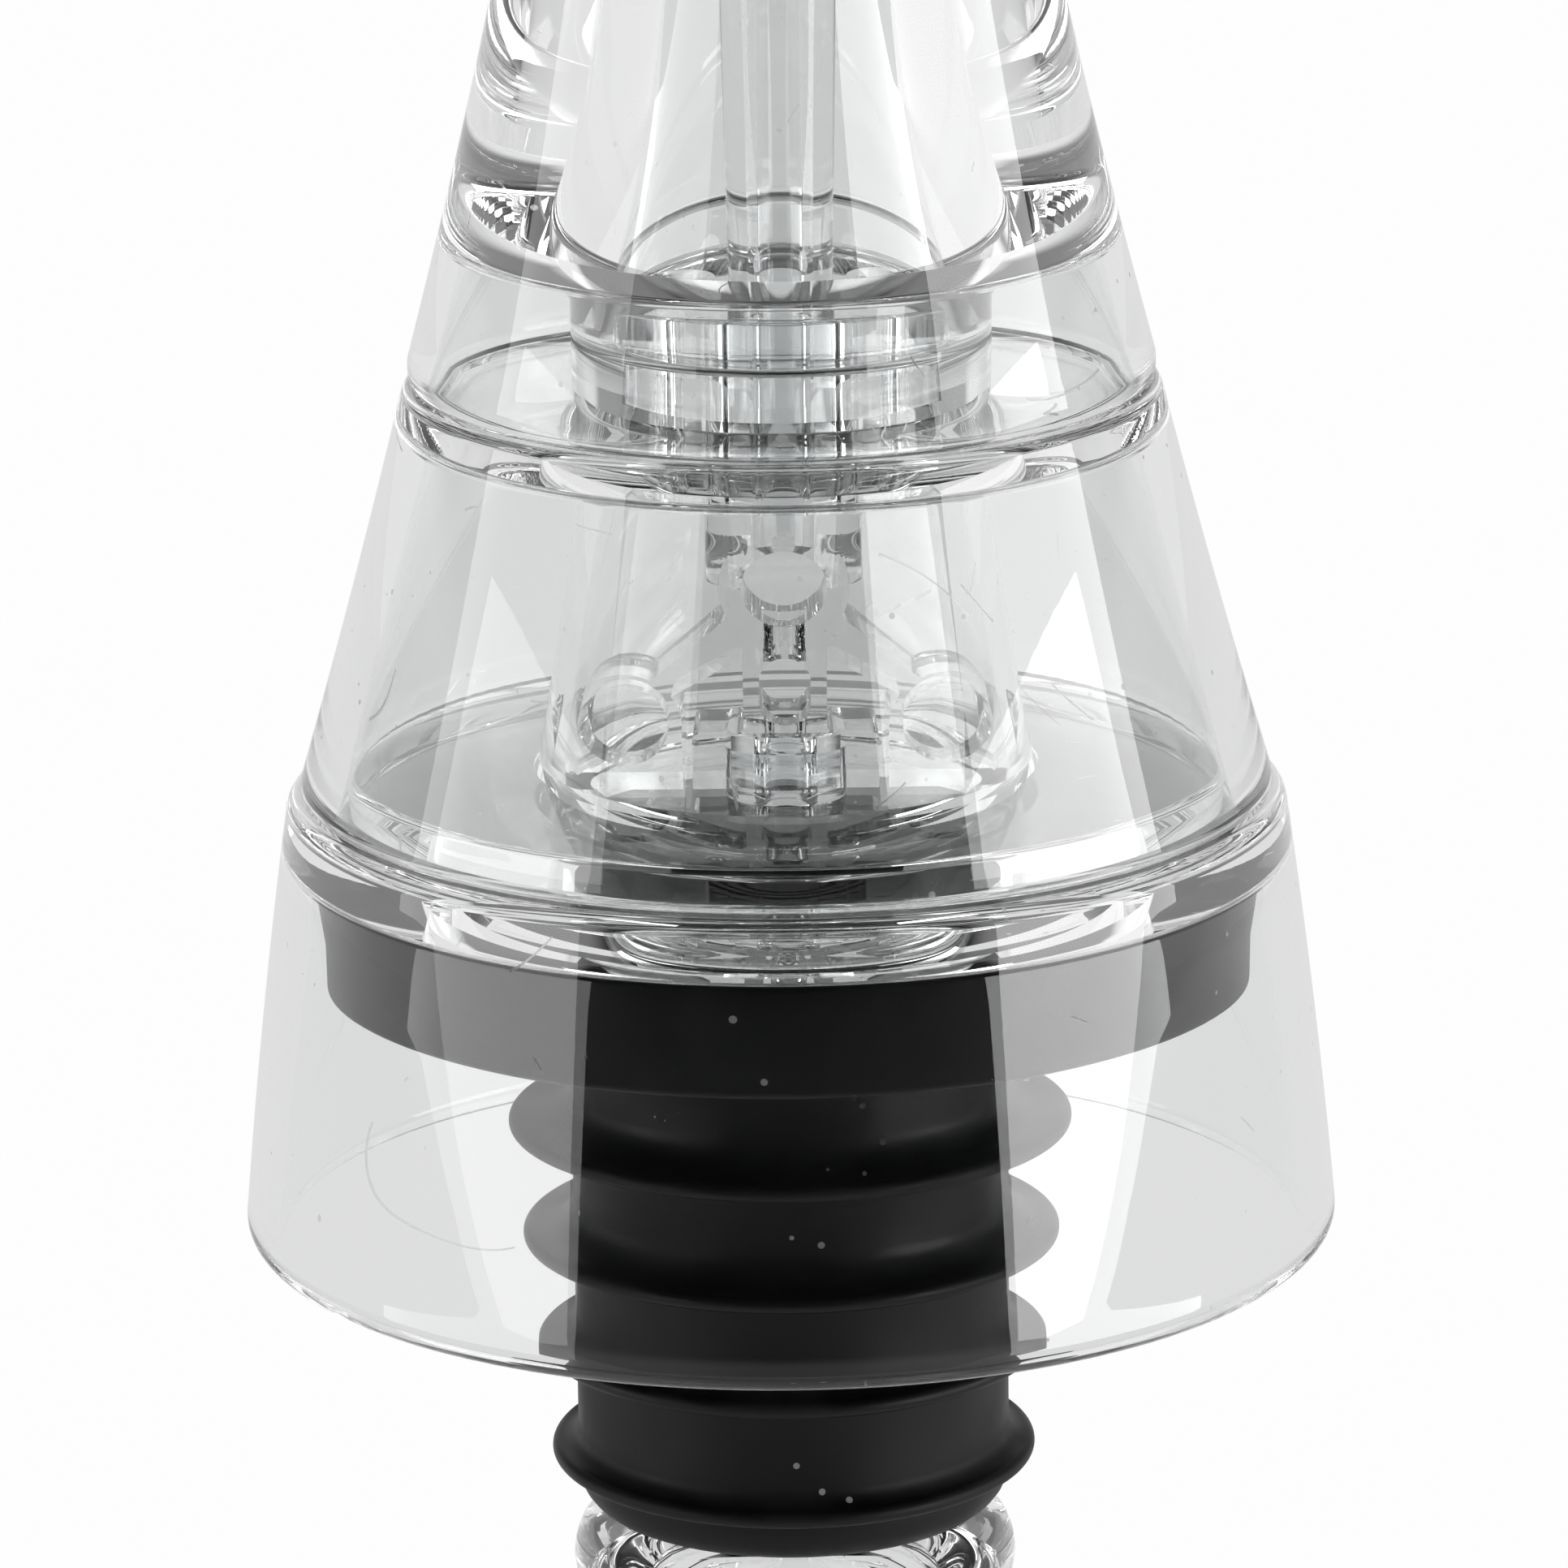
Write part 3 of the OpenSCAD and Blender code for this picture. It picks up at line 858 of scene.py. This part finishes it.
@dataclass
class MixingTier(Tier):
    """The hollow mixing body with the core, its cup and the lower tube in its chamber."""

    bow: float = -0.1
    plate_t: float = 2.0
    tube_bore: float = 1.8
    cup_low: float = 6.5
    cup_r: float = 9.1
    cup_wall: float = 1.2
    cup_floor: float = 1.0
    cup_round: float = 1.1
    cup_rim: float = 0.15
    core_low: float = 8.3
    core_t: float = 4.6
    nozzle_x: float = 6.5
    nozzle_z: float = 11.15
    nozzle_r: float = 2.3
    nozzle_bore: float = 1.75
    nozzle_back: float = 0.4
    bulb_z: float = 17.3
    bulb_r: float = 2.65
    bulb_bore: float = 1.75
    bar_r: float = 1.7
    slot_z: float = 12.65
    slot_r: float = 1.05
    slot_h: float = 3.0
    foot_x: float = 3.8
    foot_h: float = 2.5
    web_t: float = 0.9
    web_under: float = 145.0
    web_over: float = 118.0
    bulb_arc: tuple[float, float] = (-30.0, 40.0)
    hub_r: float = 3.2
    socket: float = 1.6
    foot_tube_r: float = 2.15

    def makers(self) -> dict[str, Callable[[], bpy.types.Object]]:
        """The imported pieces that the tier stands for, each with the method that builds it."""
        return {
            "mixing_body": self.mixing_body,
            "aerator_core": self.aerator_core,
            "core_cup": self.core_cup,
            "return_tube": self.return_tube,
        }

    def mixing_body(self) -> bpy.types.Object:
        """Spin the outer wall, the top and the chamber's wall in one."""
        span, joints = Span.of("mixing_body"), self.joints
        low = joints.mixing_z + JOINT_FILM
        ceiling = joints.spout_z - self.plate_t
        side = bowed(Knot(span.r, low, EDGE), Knot(joints.mixing_top_d / 2, span.high, EDGE), self.bow)
        outline = [
            joints.chamber.knot(low),
            joints.chamber.knot(low, out=joints.chamber_wall),
            joints.chamber.knot(ceiling, EDGE, out=joints.chamber_wall),
            joints.shell.knot(ceiling, EDGE),
            joints.shell.knot(low),
            *side,
            joints.chamber.knot(span.high),
        ]
        return Bench.turn("mixing_body_clear", outline)

    def core_cup(self) -> bpy.types.Object:
        """Spin the cup."""
        hole = Span.of("return_tube").r + FIT
        floor = self.cup_low + self.cup_floor
        outline = [
            Knot(hole, self.cup_low),
            Knot(self.cup_r, self.cup_low, self.cup_round),
            Knot(self.cup_r, self.core_low, self.cup_rim),
            Knot(self.cup_r - self.cup_wall, self.core_low, self.cup_rim),
            Knot(self.cup_r - self.cup_wall, floor, CORNER),
            Knot(hole, floor),
        ]
        return Bench.turn("core_cup_clear", outline)

    def return_tube(self) -> bpy.types.Object:
        """Spin the lower tube."""
        span = Span.of("return_tube")
        bore, high = self.tube_bore / 2, self.core_low + self.socket
        tip = (span.r - bore) / 2 - SHORT_OF_HALF
        outline = [
            Knot(bore, high),
            Knot(span.r, high),
            Knot(span.r, span.low, tip),
            Knot(bore, span.low, tip),
        ]
        return Bench.turn("return_tube_clear", outline)

    def core_side(self) -> list[Knot]:
        """The right side of the core's front view, from its foot round to the top of the bulb.

        Returns:
            The side's corners, with the arched tops as short steps.
        """
        low, x, r = self.core_low, self.nozzle_x, self.nozzle_r
        nozzle, bulb = Knot(x, self.nozzle_z), Knot(0, self.bulb_z)
        web_low = self.bulb_z - self.bulb_r + self.web_t / 2
        return [
            Knot(self.foot_x, low),
            Knot(self.foot_x, low + self.foot_h, CORNER),
            Knot(self.bar_r, low + self.foot_h, CORNER),
            Knot(self.bar_r, web_low - self.web_t, CORNER),
            *arc(nozzle, r, self.web_under, 180),
            Knot(x - r, low),
            Knot(x + r, low),
            *arc(nozzle, r, 0, self.web_over),
            *arc(bulb, self.bulb_r, *self.bulb_arc),
        ]

    def core_plate(self) -> bpy.types.Object:
        """Draw the core's front view, fill it and give it its thickness.

        Returns:
            The plate, in object mode.
        """
        right = self.core_side()
        left = [Knot(-knot.r, knot.z, knot.rounding) for knot in reversed(right)]
        outline = [*right, *left]
        piece = Bench.draw(outline)
        Bench.round_corners(piece, outline, 4)
        bpy.ops.mesh.select_all(action="SELECT")
        bpy.ops.mesh.edge_face_add()
        bpy.ops.transform.translate(value=(0, -self.core_t / 2 * MM, 0))
        bpy.ops.mesh.extrude_region_move(TRANSFORM_OT_translate={"value": (0, self.core_t * MM, 0)})
        bpy.ops.mesh.select_all(action="SELECT")
        bpy.ops.mesh.normals_make_consistent(inside=False)
        bpy.ops.object.mode_set(mode="OBJECT")
        return piece

    def aerator_core(self) -> bpy.types.Object:
        """Join the plate to its hubs and bore its nozzles, bulb, slot and air passage."""
        top = Span.of("aerator_core").high
        piece = self.core_plate()
        for low, high in ((self.core_low, self.core_low + self.foot_h), (self.bulb_z, top)):
            hub = Bench.rod(self.hub_r, (0, 0, (low + high) / 2), high - low)
            Bench.combine(piece, hub, "UNION")
        cross = 4 * self.hub_r
        for side in (-1, 1):
            end = self.core_t / 2 - self.nozzle_back - self.nozzle_bore
            place = (side * self.nozzle_x, end, self.nozzle_z)
            Bench.combine(piece, Bench.drill(self.nozzle_bore, place, self.core_t))
        Bench.combine(piece, Bench.rod(self.bulb_bore, (0, 0, self.bulb_z), cross, True))
        slot = Bench.rod(self.slot_r, (0, 0, self.slot_z), cross, True)
        Bench.lengthen(slot, (self.slot_h / 2 - self.slot_r) * MM, self.slot_z * MM)
        Bench.combine(piece, slot)
        middle = (self.core_low + top) / 2
        Bench.combine(piece, Bench.rod(self.tube_bore / 2, (0, 0, middle), 2 * (top - self.core_low)))
        tube = Span.of("return_tube").r + FIT
        Bench.combine(piece, Bench.rod(tube, (0, 0, self.core_low), 2 * self.socket))
        Bench.combine(piece, Bench.rod(self.foot_tube_r + FIT, (0, 0, top), 2 * self.socket))
        Bench.smooth(piece)
        Bench.name(piece, "aerator_core_clear")
        return piece


@dataclass
class SkirtTier(Tier):
    """The bell skirt, with the roof that carries the mixing body."""

    wall: float = 1.5
    bow: float = 0.15
    shoulder_step: float = 0.4
    shoulder_round: float = 0.8

    def makers(self) -> dict[str, Callable[[], bpy.types.Object]]:
        """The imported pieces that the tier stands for, each with the method that builds it."""
        return {"bell_skirt": self.bell_skirt}

    def roof(self) -> list[Knot]:
        """The roof's upper side, from the chamber's wall out to the mixing body's wall."""
        joints = self.joints
        out = joints.chamber_wall + FIT
        spigot = joints.shell.r(joints.floor_z) - FIT
        return [
            joints.chamber.knot(joints.mixing_z),
            joints.chamber.knot(joints.mixing_z, out=out),
            joints.chamber.knot(joints.floor_z, out=out),
            Knot(spigot, joints.floor_z, CORNER),
            Knot(spigot, joints.mixing_z),
        ]

    def bell_skirt(self) -> bpy.types.Object:
        """Spin the bell with its roof."""
        span, joints = Span.of("bell_skirt"), self.joints
        side = Span.of("mixing_body").r + self.shoulder_step
        tip = self.wall / 2 - SHORT_OF_HALF
        shoulder = Knot(side, joints.mixing_z, self.shoulder_round)
        outer = bowed(shoulder, Knot(span.r, span.low, tip), self.bow, 10)
        under = Knot(side - self.wall, joints.seat_z, CORNER)
        inner = bowed(Knot(span.r - self.wall, span.low, tip), under, self.bow, 10)
        bore = joints.chamber.knot(joints.seat_z)
        return Bench.turn("bell_skirt_clear", [*self.roof(), *outer, *inner, bore])


@dataclass
class StopperTier(Tier):
    """The finned rubber stopper."""

    flange_round: float = 0.4
    plug_d: float = 18.3
    fin_top_d: float = 23.6
    fin_end_d: float = 20.5
    fin_count: int = 4
    fin_first: float = 6.3
    fin_pitch: float = 5.0
    fin_t: float = 0.7
    fin_blend: float = 1.3
    plug_round: float = 1.5
    pipe_d: float = 12.0
    collar_r: float = 3.2

    def makers(self) -> dict[str, Callable[[], bpy.types.Object]]:
        """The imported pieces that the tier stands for, each with the method that builds it."""
        return {"stopper": self.stopper}

    def fin(self, k: int) -> list[Knot]:
        """The four corners of a fin, from its blend down.

        Args:
            k: The fin's number, 0 for the highest.

        Returns:
            The corners, with their roundings.
        """
        plug, half = self.plug_d / 2, self.fin_t / 2
        r = (self.fin_top_d + (self.fin_end_d - self.fin_top_d) * k / (self.fin_count - 1)) / 2
        z = -self.fin_first - k * self.fin_pitch
        blend = min(self.fin_blend, r - half - plug - FIT)
        return [
            Knot(plug, z + half, blend),
            Knot(r, z + half, half - SHORT_OF_HALF),
            Knot(r, z - half, half - SHORT_OF_HALF),
            Knot(plug, z - half, half),
        ]

    def stopper(self) -> bpy.types.Object:
        """Spin the flange, the plug, its fins and the collar over the pipe's end in one."""
        span = Span.of("stopper")
        top = span.high - JOINT_FILM
        plug, hole = self.plug_d / 2, self.pipe_d / 2 + FIT
        outline = [
            Knot(self.collar_r, top, CORNER),
            Knot(span.r, top, self.flange_round),
            Knot(span.r, 0, self.flange_round),
            Knot(plug, 0, self.flange_round),
            *(knot for k in range(self.fin_count) for knot in self.fin(k)),
            Knot(plug, span.low, self.plug_round),
            Knot(hole, span.low),
            Knot(hole, span.high - COLLAR_H),
            Knot(self.collar_r, span.high - COLLAR_H, CORNER),
        ]
        return Bench.turn("stopper_rubber", outline)


@dataclass
class PipeTier(Tier):
    """The pipe that carries the stopper."""

    pipe_d: float = 12.0
    pipe_bore: float = 8.8
    bead_h: float = 4.8

    def makers(self) -> dict[str, Callable[[], bpy.types.Object]]:
        """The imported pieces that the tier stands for, each with the method that builds it."""
        return {"inlet_pipe": self.inlet_pipe}

    def inlet_pipe(self) -> bpy.types.Object:
        """Spin the pipe with its bead, up to the stopper's collar."""
        span = Span.of("inlet_pipe")
        high = Span.of("stopper").high - COLLAR_H - JOINT_FILM
        stop = Span.of("stopper").low - JOINT_FILM
        r, bore = self.pipe_d / 2, self.pipe_bore / 2
        bead, tip = self.bead_h / 2 - SHORT_OF_HALF, (r - bore) / 2 - SHORT_OF_HALF
        outline = [
            Knot(bore, high),
            Knot(r, high),
            Knot(r, stop),
            Knot(span.r, stop, bead),
            Knot(span.r, stop - self.bead_h, bead),
            Knot(r, stop - self.bead_h),
            Knot(r, span.low, tip),
            Knot(bore, span.low, tip),
        ]
        return Bench.turn("inlet_pipe_clear", outline)


@dataclass
class Studio:
    """Floor, room, lamps and camera."""

    distance: float = 369.2
    height: float = 111.6
    pitch: float = 15.72
    roll: float = -0.66
    focal_px: float = 11330.0
    photo_px: float = 1932.0
    aim_px: float = 3.0
    sensor: float = 36.0
    box_azimuth: float = 71.0
    box_width: float = 49.0
    box_distance: float = 800.0
    box_height: float = 420.0
    box_lift: float = 20.0
    box_aim: float = 40.0
    box_radiance: tuple[float, float] = (2.6, 5.2)
    dusk: tuple[float, float] = (0.12, 0.2)
    room: tuple[float, float] = (0.8, 0.18)
    camera_side: tuple[float, float] = (-0.1, 0.1)
    camera_side_light: float = 0.03
    backdrop: tuple[float, float] = (0.8, 0.9)
    below: tuple[float, float] = (-0.25, -0.19)
    below_light: float = 0.6
    floor_light: tuple[float, float] = (0.985, 0.7)
    floor_colour: tuple[float, float, float] = (0.85, 0.85, 0.85)
    floor_roughness: float = 0.8
    floor_r: float = 3000.0
    floor_front: float = 120.0
    floor_gap: float = 0.2
    bounces: int = 32

    def camera(self) -> None:
        """Place the camera where the photograph's perspective puts it."""
        data = bpy.data.cameras.new("camera")
        data.sensor_width = self.sensor
        data.lens = self.focal_px / self.photo_px * self.sensor
        data.clip_start, data.clip_end = 0.01, 20
        camera = bpy.data.objects.new("camera", data)
        bpy.context.scene.collection.objects.link(camera)
        camera.location = Vector((0, -self.distance, self.height)) * MM
        turns = (
            Matrix.Rotation(math.atan(self.aim_px / self.focal_px), 3, "Z")
            @ Matrix.Rotation(math.radians(90 - self.pitch), 3, "X")
            @ Matrix.Rotation(math.radians(self.roll), 3, "Z")
        )
        camera.rotation_euler = turns.to_euler()
        bpy.context.scene.camera = camera

    def seen(self, net: Net) -> bpy.types.NodeSocket:
        """How much of the plain white background a ray finds, less of it through the clear walls."""
        path = net.add("LightPath").outputs
        through = net.math("MAXIMUM", path["Is Glossy Ray"], path["Is Transmission Ray"])
        direct = net.math("MULTIPLY", path["Is Camera Ray"], self.floor_light[0])
        return net.math("MAXIMUM", direct, net.math("MULTIPLY", through, self.floor_light[1]))

    def floor(self) -> None:
        """Lay the pale floor at the object's lowest point."""
        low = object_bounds()[0].z
        bpy.ops.object.select_all(action="DESELECT")
        place = (0, (self.floor_r - self.floor_front) * MM, low - self.floor_gap * MM)
        radius = self.floor_r * MM
        bpy.ops.mesh.primitive_circle_add(vertices=96, radius=radius, fill_type="NGON", location=place)
        floor = bpy.context.object
        bpy.ops.object.transform_apply(location=True, rotation=True, scale=True)
        Bench.name(floor, "floor")
        material = bpy.data.materials.new("floor")
        material.use_nodes = True
        net = Net(material.node_tree)
        shader = net.tree.nodes["Principled BSDF"]
        shader.inputs["Base Color"].default_value = (*self.floor_colour, 1)
        shader.inputs["Roughness"].default_value = self.floor_roughness
        glow = net.add("Emission", {"Strength": 1.0})
        mix = net.add("MixShader", {0: self.seen(net), 1: shader.outputs[0], 2: glow.outputs[0]})
        net.tree.links.new(mix.outputs[0], net.tree.nodes["Material Output"].inputs["Surface"])
        floor.data.materials.append(material)
        floor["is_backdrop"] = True

    def box(self, side: int) -> None:
        """Hang a softbox.

        Args:
            side: -1 for the left, 1 for the right.
        """
        data = bpy.data.lights.new("side_box", "AREA")
        data.shape = "RECTANGLE"
        data.size = 2 * self.box_distance * math.tan(math.radians(self.box_width / 2)) * MM
        data.size_y = self.box_height * MM
        data.energy = self.box_radiance[side > 0] * math.pi * data.size * data.size_y
        lamp = bpy.data.objects.new("side_box", data)
        bpy.context.scene.collection.objects.link(lamp)
        azimuth = math.radians(self.box_azimuth)
        place = Vector((side * math.sin(azimuth), -math.cos(azimuth), 0)) * self.box_distance * MM
        place.z = self.box_lift * MM
        lamp.location = place
        lamp.rotation_mode = "QUATERNION"
        aim = Vector((0, 0, self.box_aim * MM))
        lamp.rotation_quaternion = (aim - place).to_track_quat("-Z", "Y")

    def world(self) -> None:
        """Light the room softly, dark overhead and behind the camera, and white to the camera."""
        world = bpy.data.worlds.new("studio")
        bpy.context.scene.world = world
        world.use_nodes = True
        net = Net(world.node_tree)
        way = net.add("SeparateXYZ", {0: net.add("TexCoord").outputs["Generated"]}).outputs
        height = net.fade(way["Z"], self.dusk, self.room)
        near = net.fade(way["Z"], self.below, (self.below_light, self.camera_side_light))
        depth = net.math("MAXIMUM", net.fade(way["Y"], self.camera_side, (0.0, 1.0)), near)
        behind = net.fade(way["Y"], self.backdrop, (0.0, self.room[0]))
        light = net.math("MULTIPLY", net.math("MAXIMUM", height, behind), depth)
        path = net.add("LightPath").outputs
        ground = net.tree.nodes["Background"]
        ground.inputs["Color"].default_value = (1, 1, 1, 1)
        net.tree.links.new(net.math("MAXIMUM", path["Is Camera Ray"], light), ground.inputs["Strength"])

    def bounce(self) -> None:
        """Let light pass through all the clear walls that lie one behind another."""
        cycles = bpy.context.scene.cycles
        cycles.max_bounces = self.bounces
        cycles.glossy_bounces = self.bounces
        cycles.transmission_bounces = self.bounces

    def build(self) -> None:
        """Set up the whole studio."""
        self.floor()
        for side in (-1, 1):
            self.box(side)
        self.world()
        self.camera()
        self.bounce()
        bpy.context.scene.view_settings.view_transform = "Standard"


def main() -> None:
    """Build every tier in its finish, set up the studio and note the sizes."""
    logging.basicConfig(level=logging.INFO, format="%(message)s")
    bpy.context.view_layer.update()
    effects, joints = Effects(), Joints()
    acrylic = ClearAcrylic(effects, "clear_acrylic").build()
    rubber = BlackRubber(effects, "black_rubber").build()
    for tier in (SpoutTier, MixingTier, SkirtTier, PipeTier):
        tier(joints, acrylic, Slot.CLEAR).build()
    StopperTier(joints, rubber, Slot.RUBBER).build()
    Studio().build()


if __name__ == "__main__":
    main()
